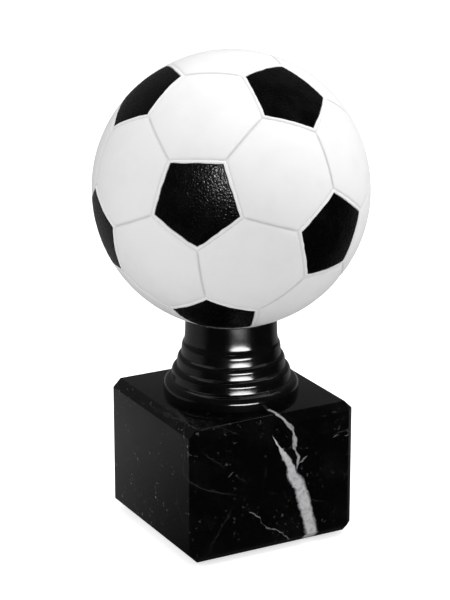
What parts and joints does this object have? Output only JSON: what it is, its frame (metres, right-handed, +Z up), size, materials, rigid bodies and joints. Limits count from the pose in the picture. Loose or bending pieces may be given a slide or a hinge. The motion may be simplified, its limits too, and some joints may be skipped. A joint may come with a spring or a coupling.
{
  "type": "figure trophy",
  "caption": "Football trophy: a gloss white ball with black grained pentagons on a black stepped riser and a square, chamfered black marble block.",
  "frame": {"origin": "centre of the pad's underside, on the surface that the trophy stands on", "axes": "+Z up through the rod and the ball, -Y out of the front face of the marble block, +X to the right seen from the front"},
  "size_m": [0.097, 0.097, 0.1729],
  "materials": {
    "felt": "short felt, matt",
    "marble": "polished black marble with white veins",
    "zinc": "bright zinc plate",
    "spring_steel": "oiled spring steel",
    "black_gloss": "high gloss moulding",
    "white_gloss": "soft gloss moulding",
    "black_grain": "leather-grained, half gloss"
  },
  "bodies": {
    "root": {"base_pad": "felt", "marble_base": "marble", "flat_washer": "zinc", "spring_washer": "spring_steel", "base_nut": "zinc", "tie_rod": "zinc", "riser": "black_gloss", "ball_nut": "zinc", "ball_lower_shell": "white_gloss", "ball_upper_shell": "white_gloss", "pentagon_inlay_01": "black_grain", "pentagon_inlay_02": "black_grain", "pentagon_inlay_03": "black_grain", "pentagon_inlay_04": "black_grain", "pentagon_inlay_05": "black_grain", "pentagon_inlay_06": "black_grain", "pentagon_inlay_07": "black_grain", "pentagon_inlay_08": "black_grain", "pentagon_inlay_09": "black_grain", "pentagon_inlay_10": "black_grain", "pentagon_inlay_11": "black_grain", "pentagon_inlay_12": "black_grain"}
  },
  "joints": []
}
